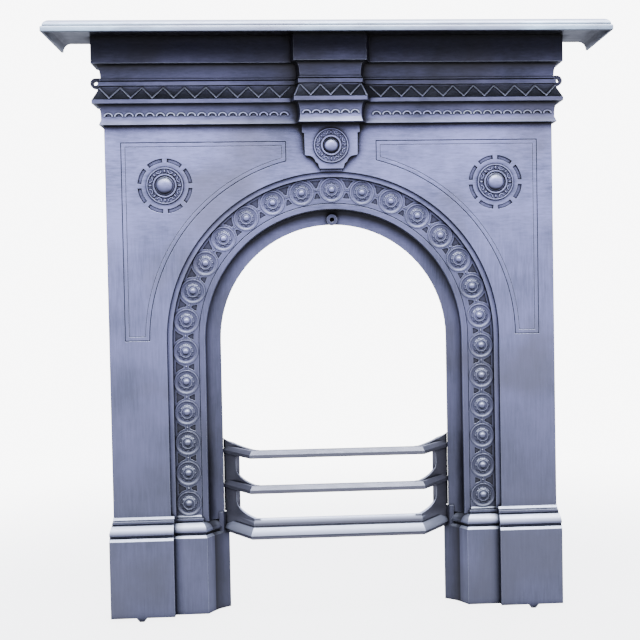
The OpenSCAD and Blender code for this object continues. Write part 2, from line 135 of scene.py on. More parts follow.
class CastingSizes(bpy.types.PropertyGroup):
    """Sizes of the fine relief."""

    ring_radius: bpy.props.FloatProperty(
        name="Rosette ring", description="Outer radius of the flat ring round each rosette",
        default=20 * MM, min=17 * MM, max=21 * MM, unit="LENGTH")
    ring_height: bpy.props.FloatProperty(
        name="Ring height", description="Height of that ring above the band",
        default=1.3 * MM, min=0.3 * MM, max=2.5 * MM, unit="LENGTH")
    panel_depth: bpy.props.FloatProperty(
        name="Panel line depth",
        description="Depth of the incised lines of the two spandrel panels",
        default=1.4 * MM, min=0.3 * MM, max=3 * MM, unit="LENGTH")
    sunk_depth: bpy.props.FloatProperty(
        name="Triangle depth", description="Depth of the sunk triangles between the rosettes",
        default=1.8 * MM, min=0.3 * MM, max=4 * MM, unit="LENGTH")
    zigzag_pitch: bpy.props.FloatProperty(
        name="Zigzag pitch", description="Distance from point to point of the zigzag",
        default=33 * MM, min=20 * MM, max=50 * MM, unit="LENGTH")
    zigzag_width: bpy.props.FloatProperty(
        name="Zigzag line", description="Width of the raised zigzag line",
        default=2.1 * MM, min=0.6 * MM, max=3 * MM, unit="LENGTH")
    crescent_pitch: bpy.props.FloatProperty(
        name="Crescent pitch", description="Distance from crescent to crescent",
        default=16.3 * MM, min=12 * MM, max=24 * MM, unit="LENGTH")
    crescent_radius: bpy.props.FloatProperty(
        name="Crescent radius", description="Radius of a crescent",
        default=6.2 * MM, min=3 * MM, max=7 * MM, unit="LENGTH")
    edge_softness: bpy.props.FloatProperty(
        name="Edge softness", description="Radius to which the cast edges are rubbed",
        default=0.9 * MM, min=0.1 * MM, max=3 * MM, unit="LENGTH")


class IronColours(bpy.types.PropertyGroup):
    """Colours of the three castings."""

    # The blue in the surround's rubbed and dull colours is painted reflection of the sky; the grey
    # under it is the iron's own
    surround_light: bpy.props.FloatVectorProperty(
        name="Surround, rubbed", description="Rubbed faces of the surround", subtype="COLOR",
        size=3, min=0, max=1, default=linear("#bcbbea"))
    surround_dark: bpy.props.FloatVectorProperty(
        name="Surround, dull", description="Duller strokes on the surround", subtype="COLOR",
        size=3, min=0, max=1, default=linear("#7d7f9b"))
    # Greyer and darker towards the bottom
    surround_low: bpy.props.FloatVectorProperty(
        name="Surround, low down", description="Greyer iron toward the hearth", subtype="COLOR",
        size=3, min=0, max=1, default=linear("#5c5d62"))
    wax: bpy.props.FloatVectorProperty(
        name="Old wax", description="Warm grey patches where wax has aged", subtype="COLOR",
        size=3, min=0, max=1, default=linear("#8c8997"))
    # Painted shade: the dark colour given to undersides, to the frieze under the shelf, to the sunk
    # band and to the hollow of the arch
    painted_shade: bpy.props.FloatVectorProperty(
        name="Grate polish", description="Thick polish under the shelf and on undersides",
        subtype="COLOR", size=3, min=0, max=1, default=linear("#2d2b27"))
    # Partly the polish in the hollows, partly painted shade there
    recess: bpy.props.FloatVectorProperty(
        name="Hollows", description="Polish left in the hollows", subtype="COLOR",
        size=3, min=0, max=1, default=linear("#121318"))
    # Bare iron on worn edges and raised lines, and the painted highlight on edges and on faces that
    # look up
    edge: bpy.props.FloatVectorProperty(
        name="Edges", description="Bare iron on the worn edges", subtype="COLOR",
        size=3, min=0, max=1, default=linear("#d5d9e4"))
    shelf_light: bpy.props.FloatVectorProperty(
        name="Shelf, rubbed", description="Rubbed faces of the shelf", subtype="COLOR",
        size=3, min=0, max=1, default=linear("#bad2dc"))
    shelf_dark: bpy.props.FloatVectorProperty(
        name="Shelf, dull", description="Duller strokes on the shelf", subtype="COLOR",
        size=3, min=0, max=1, default=linear("#848d98"))
    bars_light: bpy.props.FloatVectorProperty(
        name="Bars, rubbed", description="Rubbed faces of the bars", subtype="COLOR",
        size=3, min=0, max=1, default=linear("#8c8a8f"))
    bars_dark: bpy.props.FloatVectorProperty(
        name="Bars, dull", description="Duller strokes on the bars", subtype="COLOR",
        size=3, min=0, max=1, default=linear("#68676c"))


class StudioSettings(bpy.types.PropertyGroup):
    """The studio round the surround."""

    backdrop: bpy.props.FloatVectorProperty(
        name="Backdrop", description="Pale colour behind and under the surround", subtype="COLOR",
        size=3, min=0, max=1, default=linear("#f4f4f5"))
    key_power: bpy.props.FloatProperty(
        name="Key light", description="Power of the large light at the front left",
        default=16, min=0, unit="POWER")
    fill_power: bpy.props.FloatProperty(
        name="Fill light", description="Power of the light at the front right",
        default=5, min=0, unit="POWER")
    top_power: bpy.props.FloatProperty(
        name="Top light", description="Power of the light above",
        default=60, min=0, unit="POWER")


# ---------------------------------------------------------------- materials


def add_node(tree, kind, settings=None, links=None):
    """Adds a node. A setting is a property of the node or the value of one of its inputs."""
    node = tree.nodes.new(kind)
    for key, value in (settings or {}).items():
        if isinstance(key, str) and hasattr(node, key):
            setattr(node, key, value)
        else:
            node.inputs[key].default_value = value
    for key, socket in (links or {}).items():
        tree.links.new(socket, node.inputs[key])
    return node


def cast_iron(name, light, dark, low, roughness, stroke_turn_z,
              shelter_shade=1, frieze_shade=0, top_light_height=ABOVE_ALL):
    """Sand-cast grey iron, wire-brushed bright and wiped with grate polish.

    The sand mould leaves a faint grain and the brush leaves strokes along the work. The hollows are
    painted nearly black, partly for the polish in them and partly as painted shade, and the edges
    are painted bright, partly as bare iron and partly as painted highlight. The strokes run up the
    work below stroke_turn_z and across it above. The last three values say how much painted shade
    falls under the shelf, how much the frieze, the sunk band and the hollow of the arch get, and up
    to what height the faces that look up get a painted top light.
    """
    sizes, colours = bpy.context.scene.casting_sizes, bpy.context.scene.iron_colours
    material = bpy.data.materials.new(name)
    material.use_nodes = True
    tree = material.node_tree
    tree.nodes.clear()
    place = add_node(tree, "ShaderNodeTexCoord").outputs["Object"]

    # Brush strokes are 0.3 mm wide on the real iron, and are drawn 3 mm wide to show
    def strokes(scale):
        turned = add_node(tree, "ShaderNodeMapping", {"Scale": scale}, {"Vector": place})
        return add_node(tree, "ShaderNodeTexNoise", {"Scale": 1, "Detail": 5, "Roughness": 0.62},
                        {"Vector": turned.outputs["Vector"]}).outputs["Fac"]

    where = add_node(tree, "ShaderNodeSeparateXYZ", links={"Vector": place}).outputs
    level, depth = where["Z"], where["Y"]
    high = add_node(tree, "ShaderNodeMapRange",
                    {"From Min": stroke_turn_z - 0.06, "From Max": stroke_turn_z + 0.06,
                     "interpolation_type": "SMOOTHSTEP"}, {"Value": level}).outputs["Result"]
    brushed = add_node(tree, "ShaderNodeMix", {"data_type": "FLOAT"},
                       {"Factor": high, "A": strokes(UPRIGHT_STROKES),
                        "B": strokes(LEVEL_STROKES)}).outputs["Result"]

    # Patches where the polish was wiped thinner, about 90 mm across
    patches = add_node(tree, "ShaderNodeTexNoise", {"Scale": 11, "Detail": 4, "Roughness": 0.55},
                       {"Vector": place}).outputs["Fac"]
    # Grain of the moulding sand: 0.4 mm, drawn 1.6 mm
    grain = add_node(tree, "ShaderNodeTexNoise", {"Scale": 620, "Detail": 2, "Roughness": 0.5},
                     {"Vector": place}).outputs["Fac"]

    shade = add_node(tree, "ShaderNodeMath", {"operation": "MULTIPLY_ADD", 1: 0.38},
                     {0: brushed,
                      2: add_node(tree, "ShaderNodeMath", {"operation": "MULTIPLY", 1: 0.62},
                                  {0: patches}).outputs[0]}).outputs[0]
    shade = add_node(tree, "ShaderNodeMapRange", {"From Min": 0.36, "From Max": 0.64},
                     {"Value": shade}).outputs["Result"]
    colour = add_node(tree, "ShaderNodeMix", {"data_type": "RGBA", 6: (*dark, 1), 7: (*light, 1)},
                      {"Factor": shade}).outputs[2]
    # Old wax leaves warmer, browner patches about 150 mm across
    waxed = add_node(tree, "ShaderNodeTexNoise", {"Scale": 6.5, "Detail": 3, "Roughness": 0.5},
                     {"Vector": place}).outputs["Fac"]
    waxed = add_node(tree, "ShaderNodeMapRange", {"From Min": 0.5, "From Max": 0.64, "To Max": 0.6},
                     {"Value": waxed}).outputs["Result"]
    colour = add_node(tree, "ShaderNodeMix", {"data_type": "RGBA", 7: (*colours.wax, 1)},
                      {"Factor": waxed, 6: colour}).outputs[2]
    # Greyer and darker towards the bottom
    hearth = add_node(tree, "ShaderNodeMapRange",
                      {"From Min": SPRING_Z + 0.26, "From Max": SPRING_Z - 0.22, "To Max": 0.8},
                      {"Value": level}).outputs["Result"]
    colour = add_node(tree, "ShaderNodeMix", {"data_type": "RGBA", 7: (*low, 1)},
                      {"Factor": hearth, 6: colour}).outputs[2]

    # Painted top light: faces that look up are painted brighter, as if lit from above. Undersides
    # get painted shade
    face_normal = add_node(tree, "ShaderNodeNewGeometry").outputs["Normal"]
    tilt = add_node(tree, "ShaderNodeSeparateXYZ", links={"Vector": face_normal}).outputs["Z"]
    painted_top_light = add_node(tree, "ShaderNodeMapRange",
                      {"From Min": 0.15, "From Max": 0.55, "To Max": 0.8},
                      {"Value": tilt}).outputs["Result"]
    below = add_node(tree, "ShaderNodeMapRange",
                     {"From Min": top_light_height, "From Max": top_light_height + 10 * MM,
                      "To Min": 1, "To Max": 0.1}, {"Value": level}).outputs["Result"]
    painted_top_light = add_node(tree, "ShaderNodeMath", {"operation": "MULTIPLY"},
                      {0: painted_top_light, 1: below}).outputs[0]
    colour = add_node(tree, "ShaderNodeMix", {"data_type": "RGBA", 7: (*colours.edge, 1)},
                      {"Factor": painted_top_light, 6: colour}).outputs[2]
    # Painted shade on faces that look down
    under = add_node(tree, "ShaderNodeMapRange",
                     {"From Min": -0.12, "From Max": -0.62, "To Max": 0.92},
                     {"Value": tilt}).outputs["Result"]
    colour = add_node(tree, "ShaderNodeMix", {"data_type": "RGBA", 7: (*colours.painted_shade, 1)},
                      {"Factor": under, 6: colour}).outputs[2]

    # The hollows are painted nearly black: partly the polish that stays in them, partly painted
    # shade
    openness = add_node(tree, "ShaderNodeAmbientOcclusion",
                        {"samples": 8, "Distance": HOLLOW_REACH}).outputs["AO"]
    hollow = add_node(tree, "ShaderNodeMapRange", {"From Min": 0.94, "From Max": 0.5},
                      {"Value": openness}).outputs["Result"]
    colour = add_node(tree, "ShaderNodeMix", {"data_type": "RGBA", 7: (*colours.recess, 1)},
                      {"Factor": hollow, 6: colour}).outputs[2]

    # Painted shade under the shelf, where its shadow falls, and on the frieze below it
    painted_shelter_shade = add_node(tree, "ShaderNodeAmbientOcclusion",
                         {"samples": 8, "Distance": SHELTER_REACH}).outputs["AO"]
    painted_shelter_shade = add_node(tree, "ShaderNodeMapRange",
                         {"From Min": 0.96, "From Max": 0.62, "To Max": 0.9 * shelter_shade},
                         {"Value": painted_shelter_shade}).outputs["Result"]
    above = add_node(tree, "ShaderNodeMapRange", {"From Min": 0.5, "From Max": 0.75},
                     {"Value": level}).outputs["Result"]
    painted_shelter_shade = add_node(tree, "ShaderNodeMath", {"operation": "MULTIPLY"},
                         {0: painted_shelter_shade, 1: above}).outputs[0]
    frieze = add_node(tree, "ShaderNodeMapRange",
                      {"From Min": FRIEZE_FOOT_Z - 2 * MM, "From Max": FRIEZE_FOOT_Z + 90 * MM,
                       "To Min": 0.42 * frieze_shade, "To Max": 0.78 * frieze_shade},
                      {"Value": level}).outputs["Result"]
    on_frieze = add_node(tree, "ShaderNodeMapRange",
                         {"From Min": FRIEZE_FOOT_Z - 3 * MM, "From Max": FRIEZE_FOOT_Z + 1 * MM},
                         {"Value": level}).outputs["Result"]
    frieze = add_node(tree, "ShaderNodeMath", {"operation": "MULTIPLY"},
                      {0: frieze, 1: on_frieze}).outputs[0]
    painted_shelter_shade = add_node(tree, "ShaderNodeMath", {"operation": "MAXIMUM"},
                         {0: painted_shelter_shade, 1: frieze}).outputs[0]

    # Painted shade: a little on the sunk band, and in the hollow of the arch, most beside the band
    # and less at the lip
    on_band = add_node(tree, "ShaderNodeMapRange",
                       {"From Min": FACE_Y + 4 * MM, "From Max": BAND_Y - 1 * MM,
                        "To Max": 0.3 * frieze_shade}, {"Value": depth}).outputs["Result"]
    in_cove = add_node(tree, "ShaderNodeMapRange",
                       {"From Min": BAND_Y + 0.7 * MM, "From Max": BAND_Y + 2 * MM,
                        "To Max": 0.9 * frieze_shade}, {"Value": depth}).outputs["Result"]
    to_lip = add_node(tree, "ShaderNodeMapRange",
                      {"From Min": BAND_Y + 3 * MM, "From Max": BACK_Y - 5 * MM,
                       "To Min": 1, "To Max": 0.5}, {"Value": depth}).outputs["Result"]
    in_cove = add_node(tree, "ShaderNodeMath", {"operation": "MULTIPLY"},
                       {0: in_cove, 1: to_lip}).outputs[0]
    for recess_shade in (on_band, in_cove):
        painted_shelter_shade = add_node(tree, "ShaderNodeMath", {"operation": "MAXIMUM"},
                             {0: painted_shelter_shade, 1: recess_shade}).outputs[0]
    colour = add_node(tree, "ShaderNodeMix", {"data_type": "RGBA", 7: (*colours.painted_shade, 1)},
                      {"Factor": painted_shelter_shade, 6: colour}).outputs[2]

    soft = add_node(tree, "ShaderNodeBevel", {"samples": 6, "Radius": sizes.edge_softness})
    # Convex edges are painted bright: partly bare iron rubbed there, partly painted highlight
    bend = add_node(tree, "ShaderNodeVectorMath", {"operation": "DOT_PRODUCT"},
                    {0: soft.outputs["Normal"], 1: face_normal}).outputs["Value"]
    worn_edge_and_highlight = add_node(tree, "ShaderNodeMapRange", {"From Min": 0.985, "From Max": 0.86},
                    {"Value": bend}).outputs["Result"]
    proud = add_node(tree, "ShaderNodeMapRange", {"From Min": 0.75, "From Max": 0.97},
                     {"Value": openness}).outputs["Result"]
    worn_edge_and_highlight = add_node(tree, "ShaderNodeMath", {"operation": "MULTIPLY", "use_clamp": True},
                    {0: worn_edge_and_highlight, 1: proud}).outputs[0]
    worn_edge_and_highlight = add_node(tree, "ShaderNodeMath", {"operation": "MULTIPLY", "use_clamp": True, 1: 0.75},
                    {0: worn_edge_and_highlight}).outputs[0]
    colour = add_node(tree, "ShaderNodeMix", {"data_type": "RGBA", 7: (*colours.edge, 1)},
                      {"Factor": worn_edge_and_highlight, 6: colour}).outputs[2]

    rough = add_node(tree, "ShaderNodeMapRange",
                     {"To Min": roughness + 0.1, "To Max": roughness - 0.06},
                     {"Value": shade}).outputs["Result"]
    rough = add_node(tree, "ShaderNodeMath",
                     {"operation": "MULTIPLY_ADD", 1: 0.26, "use_clamp": True},
                     {0: hollow, 2: rough}).outputs[0]

    relief = add_node(tree, "ShaderNodeMath", {"operation": "MULTIPLY_ADD", 1: 0.35},
                      {0: grain, 2: brushed}).outputs[0]
    bump = add_node(tree, "ShaderNodeBump", {"Strength": 0.35, "Distance": 0.35 * MM},
                    {"Height": relief, "Normal": soft.outputs["Normal"]}).outputs["Normal"]
    iron = add_node(tree, "ShaderNodeBsdfPrincipled", {"Metallic": 0.92},
                    {"Base Color": colour, "Roughness": rough, "Normal": bump})
    add_node(tree, "ShaderNodeOutputMaterial", links={"Surface": iron.outputs["BSDF"]})
    return material


def iron_for(slot):
    """The iron of a casting or of its rubbed raised lines, made when it is first needed."""
    name = {"burnished_iron": "burnished_cast_iron", "rubbed_iron": "rubbed_cast_iron",
            "shelf_iron": "shelf_cast_iron", "bar_iron": "bar_cast_iron"}[slot]
    colours = bpy.context.scene.iron_colours
    if name not in bpy.data.materials:
        if slot == "burnished_iron":
            cast_iron(name, colours.surround_light, colours.surround_dark,
                      colours.surround_low, 0.36, SPRING_Z + 0.16, frieze_shade=1)
        elif slot == "rubbed_iron":
            cast_iron(name, colours.edge, colours.surround_light, colours.edge,
                      0.38, SPRING_Z, shelter_shade=0.35)
        elif slot == "shelf_iron":
            cast_iron(name, colours.shelf_light, colours.shelf_dark, colours.shelf_light,
                      0.34, 0.3)
        else:
            cast_iron(name, colours.bars_light, colours.bars_dark, colours.bars_dark,
                      0.4, 0.05, top_light_height=170 * MM)
    return bpy.data.materials[name]


# ---------------------------------------------------------------- mesh helpers


def own_normals(mesh):
    """Drops normals that came with a CAD node, so that the mesh is shaded from its own faces."""
    for name in ("custom_normal", "sharp_face", "sharp_edge"):
        if name in mesh.attributes:
            mesh.attributes.remove(mesh.attributes[name])


def add_piece(name, bm, slot, sharp=CASTING_SHARP, iron=None):
    """Makes a piece from a bmesh, in its own iron, and lets it ride with the casting."""
    mesh = bpy.data.meshes.new(name)
    bm.to_mesh(mesh)
    bm.free()
    own_normals(mesh)
    mesh.shade_smooth()
    mesh.set_sharp_from_angle(angle=math.radians(sharp))
    piece = bpy.data.objects.new(name, mesh)
    bpy.context.scene.collection.objects.link(piece)
    mesh.materials.append(iron_for(iron or slot))
    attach(piece, "root")
    return piece


def facing(centre, turn=0):
    """Places a shape drawn in X and Y so that it faces the room, turned about its centre."""
    return (Matrix.Translation(centre) @ Matrix.Rotation(math.radians(90), 4, "X")
            @ Matrix.Rotation(turn, 4, "Z"))


def turned_ring(bm, profile, steps, angle=math.tau):
    """Spins a closed profile of (radius, height) points about the local Z axis."""
    verts = [bm.verts.new((r, 0, h)) for r, h in profile]
    edges = [bm.edges.new((verts[i], verts[(i + 1) % len(verts)])) for i in range(len(verts))]
    whole = angle > math.tau - 0.001
    geom = verts + edges
    if not whole:
        geom.append(bm.faces.new(verts))
    bmesh.ops.spin(bm, geom=geom, cent=(0, 0, 0), axis=(0, 0, 1), dvec=(0, 0, 0),
                   angle=angle, steps=steps, use_merge=whole, use_duplicate=False)


def stamp(target, shape, places):
    """Copies a small shape to each place."""
    mesh = bpy.data.meshes.new("stamp")
    shape.to_mesh(mesh)
    shape.free()
    for place in places:
        copy = mesh.copy()
        copy.transform(place)
        target.from_mesh(copy)
        bpy.data.meshes.remove(copy)
    bpy.data.meshes.remove(mesh)


def closed(bm):
    """Joins doubled points and turns every face outward."""
    bmesh.ops.remove_doubles(bm, verts=bm.verts, dist=SHAPE_MERGE)
    bmesh.ops.recalc_face_normals(bm, faces=bm.faces)
    return bm


def rosette_place(k):
    """Place of a rosette, counted from the crown, and the turn of the band there."""
    run = abs(k) * ROSETTE_PITCH
    quarter = ROSETTE_ARC * math.pi / 2
    sign = 1 if k >= 0 else -1
    if run <= quarter:
        angle = run / ROSETTE_ARC
        return Vector((sign * ROSETTE_ARC * math.sin(angle), BAND_Y,
                       SPRING_Z + ROSETTE_ARC * math.cos(angle))), -sign * angle
    return Vector((sign * ROSETTE_ARC, BAND_Y, SPRING_Z - (run - quarter))), -sign * math.pi / 2


def prism(bm, outline, depth):
    """A closed prism from an outline in local X and Y, as deep below its plane as above it."""
    face = bm.faces.new([bm.verts.new((x, y, -depth)) for x, y in outline])
    made = bmesh.ops.extrude_face_region(bm, geom=[face])
    bmesh.ops.translate(bm, vec=(0, 0, 2 * depth),
                        verts=[v for v in made["geom"] if isinstance(v, bmesh.types.BMVert)])


# ---------------------------------------------------------------- the surround


def panel_outline(hand, inset):
    """Outline of a spandrel panel, inset by a distance, from the arch's centre."""
    left, right = 72 * MM + inset, 335 * MM - inset
    foot, top, radius = 1.5 * MM + inset, 318.5 * MM - inset, 295 * MM + inset
    start = math.acos(left / radius)
    end = math.asin(foot / radius)
    arc = [(radius * math.cos(start + (end - start) * i / 32),
            radius * math.sin(start + (end - start) * i / 32)) for i in range(33)]
    points = [(left, top)] + arc + [(right, foot), (right, top)]
    return [(hand * x, z) for x, z in points]


def panel_line(bm, hand, inset, width, depth):
    """A cutter for one incised line of a panel."""
    shape = bmesh.new()
    face = shape.faces.new([shape.verts.new((x, z, -depth)) for x, z in panel_outline(hand, inset)])
    shape.normal_update()
    bmesh.ops.inset_region(shape, faces=[face], thickness=width,
                           use_even_offset=True, use_boundary=True)
    bmesh.ops.delete(shape, geom=[face], context="FACES")
    made = bmesh.ops.extrude_face_region(shape, geom=list(shape.faces))
    bmesh.ops.translate(shape, vec=(0, 0, depth + 1 * MM),
                        verts=[v for v in made["geom"] if isinstance(v, bmesh.types.BMVert)])
    stamp(bm, closed(shape), [facing((0, FACE_Y, SPRING_Z))])


def crescent_places():
    """Places of the crescents along the frieze and on the console."""
    pitch = bpy.context.scene.casting_sizes.crescent_pitch
    surface = 3.2 * MM
    count = int((BODY_HALF - CONSOLE_FOOT_HALF) / pitch) - 1
    start = BODY_HALF - pitch * 0.55
    places = [Vector((hand * (start - pitch * i), FRIEZE_Y - surface, CRESCENT_Z))
              for hand in (-1, 1) for i in range(count + 1)]
    console_pitch = 2 * CONSOLE_HALF / 6
    places += [Vector((console_pitch * (i - 2.5), CONSOLE_Y - surface, CRESCENT_Z))
               for i in range(6)]
    return places


def relief_cutter():
    """Everything sunk into the casting: panel lines, triangles and the crescents' eyes."""
    sizes = bpy.context.scene.casting_sizes
    bm = bmesh.new()
    for hand in (-1, 1):
        panel_line(bm, hand, 0, PANEL_LINE_WIDTH, sizes.panel_depth)
        panel_line(bm, hand, FINE_LINE_INSET, FINE_LINE_WIDTH, sizes.panel_depth * FINE_LINE_SHARE)

    # The sides of the triangles follow circles round the two rosettes beside them
    keep, half_pitch = 22.6 * MM, ROSETTE_PITCH / 2
    gap = [half_pitch - math.sqrt(keep ** 2 - v ** 2) for v in (4 * MM, 8 * MM, 12 * MM, 16.5 * MM)]
    outer = [(-gap[3], 16.5 * MM), (-gap[2], 12 * MM), (-gap[1], 8 * MM), (-gap[0] * 0.6, 4 * MM),
             (gap[0] * 0.6, 4 * MM), (gap[1], 8 * MM), (gap[2], 12 * MM), (gap[3], 16.5 * MM)]
    inner = [(-gap[2], -13 * MM), (-gap[1], -8 * MM), (-gap[0] * 0.6, -4 * MM),
             (gap[0] * 0.6, -4 * MM), (gap[1], -8 * MM), (gap[2], -13 * MM)]
    places = [rosette_place(k + 0.5) for k in range(-ROSETTES_EACH_SIDE, ROSETTES_EACH_SIDE)]
    for outline in (outer, inner):
        shape = bmesh.new()
        prism(shape, outline, sizes.sunk_depth)
        stamp(bm, closed(shape), [facing(at, turn) for at, turn in places])

    shape = bmesh.new()
    radius = sizes.crescent_radius - 1.4 * MM
    prism(shape, [(radius * math.cos(math.pi * i / 8), 0.8 * radius * math.sin(math.pi * i / 8))
                  for i in range(9)], 1.2 * MM)
    stamp(bm, closed(shape), [facing(at) for at in crescent_places()])
    return bm


def cut(piece, cutter_bm):
    """Cuts a closed mesh out of a piece."""
    mesh = bpy.data.meshes.new("cutter")
    cutter_bm.to_mesh(mesh)
    cutter_bm.free()
    cutter = bpy.data.objects.new("cutter", mesh)
    bpy.context.scene.collection.objects.link(cutter)
    modifier = piece.modifiers.new("relief", "BOOLEAN")
    modifier.operation, modifier.object, modifier.solver = "DIFFERENCE", cutter, "EXACT"
    bpy.context.view_layer.update()
    sunk = bpy.data.meshes.new_from_object(
        piece.evaluated_get(bpy.context.evaluated_depsgraph_get()))
    piece.modifiers.clear()
    if len(sunk.polygons) <= len(piece.data.polygons):
        raise RuntimeError("the relief was not cut into the casting")
    old, name = piece.data, piece.data.name
    piece.data = sunk
    bpy.data.meshes.remove(old)
    sunk.name = name
    bpy.data.objects.remove(cutter)
    bpy.data.meshes.remove(mesh)


def casting_of(node, name, slot):
    """A merged copy of a CAD node, which stands for it."""
    bm = bmesh.new()
    bm.from_mesh(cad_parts[node].data)
    bmesh.ops.remove_doubles(bm, verts=bm.verts, dist=CAD_MERGE)
    piece = add_piece(name, bm, slot)
    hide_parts(node)
    return piece


class FIREPLACE_OT_surround(bpy.types.Operator):
    """Makes the surround casting, with its sunk lines and triangles"""

    bl_idname = "fireplace.surround"
    bl_label = "Surround casting"

    def execute(self, context):
        piece = casting_of("surround", "surround_casting", "burnished_iron")
        cut(piece, relief_cutter())
        piece.data.shade_smooth()
        piece.data.set_sharp_from_angle(angle=math.radians(CUT_SHARP))
        return {"FINISHED"}


class FIREPLACE_OT_rosettes(bpy.types.Operator):
    """Makes the rings, leaves and links of the rosettes along the arch"""

    bl_idname = "fireplace.rosettes"
    bl_label = "Arch rosettes"

    def execute(self, context):
        sizes = context.scene.casting_sizes
        bm = bmesh.new()
        places = [rosette_place(k) for k in range(-ROSETTES_EACH_SIDE, ROSETTES_EACH_SIDE + 1)]
        turned = [facing(at, turn) for at, turn in places]

        ring, height = sizes.ring_radius, sizes.ring_height
        shape = bmesh.new()
        turned_ring(shape, [(ring, -1 * MM), (ring - 0.3 * MM, height),
                            (ring - 2.2 * MM, height), (ring - 2.8 * MM, height * 0.35),
                            (ring - 5 * MM, height * 0.2), (ring - 5.5 * MM, -1 * MM)], 32)
        stamp(bm, closed(shape), turned)

        # The inner ring, a round bead on the slope of the dome
        shape = bmesh.new()
        bead_radius, bead_level, bead_tube = 8.8 * MM, 2.7 * MM, 1.2 * MM
        bead = [(bead_radius + bead_tube * math.cos(a), bead_level + bead_tube * math.sin(a))
                for a in (math.tau * i / 6 for i in range(6))]
        turned_ring(shape, bead, 24)
        stamp(bm, closed(shape), turned)

        # Small leaves round the dome's foot
        leaves, leaf_count = [], 10
        for i in range(leaf_count):
            a = math.tau * (i + 0.5) / leaf_count
            leaves.append(Matrix.Rotation(a, 4, "Z") @ Matrix.Translation((11.3 * MM, 0, 1.6 * MM))
                          @ Matrix.Rotation(math.radians(35), 4, "Y")
                          @ Matrix.Diagonal((2 * MM, 1.9 * MM, 1 * MM, 1)))
        shape = bmesh.new()
        bmesh.ops.create_icosphere(shape, subdivisions=1, radius=1)
        stamp(bm, shape, [place @ leaf for place in turned for leaf in leaves])

        # A bead and two short bars link each rosette to the next
        links = [rosette_place(k + 0.5) for k in range(-ROSETTES_EACH_SIDE, ROSETTES_EACH_SIDE)]
        shape = bmesh.new()
        bmesh.ops.create_uvsphere(shape, u_segments=10, v_segments=6, radius=1.7 * MM)
        stamp(bm, shape, [facing(at, turn) for at, turn in links])
        shape = bmesh.new()
        bmesh.ops.create_cube(shape, size=1)
        bmesh.ops.bevel(shape, geom=shape.edges[:], offset=0.12, offset_type="OFFSET", segments=1,
                        profile=0.5, affect="EDGES", material=-1)
        bar = Matrix.Diagonal((9 * MM, 1.2 * MM, 1.6 * MM, 1))
        stamp(bm, shape, [facing(at, turn) @ bar for at, turn in links])
        add_piece("arch_rosettes", bm, "burnished_iron", ORNAMENT_SHARP)
        return {"FINISHED"}


def zigzag_bars(start, end, drop_out, whole):
    """Places of the raised bars along one sloping face, and of the knobs at their lower points.

    The face runs from start to end at the top of the slope, its foot stands drop_out further
    forward, and the zigzag has this many whole points.
    """
    sizes = bpy.context.scene.casting_sizes
    run = end - start
    along = run.normalized()
    outward = along.cross(Vector((0, 0, 1))).normalized()
    fall = Vector((0, 0, ZIGZAG_FOOT_Z - ZIGZAG_TOP_Z)) + outward * drop_out
    normal = along.cross(fall).normalized()
    if normal.dot(outward) < 0:
        normal = -normal
    # How far down the slope the upper and lower points are
    upper, lower = 0.04, 0.94
    places, knobs = [], []
    for i in range(2 * whole):
        a = start + run * (i / (2 * whole)) + fall * (upper if i % 2 == 0 else lower)
        b = start + run * ((i + 1) / (2 * whole)) + fall * (lower if i % 2 == 0 else upper)
        direction = (b - a).normalized()
        side = normal.cross(direction)
        turn = Matrix((direction, side, normal)).transposed().to_4x4()
        places.append(Matrix.Translation((a + b) / 2 + normal * 0.4 * MM) @ turn
                      @ Matrix.Diagonal(((b - a).length, sizes.zigzag_width, 2 * MM, 1)))
        if i % 2 == 0:
            knobs.append(Matrix.Translation(b + normal * 0.7 * MM) @ turn)
    return places, knobs


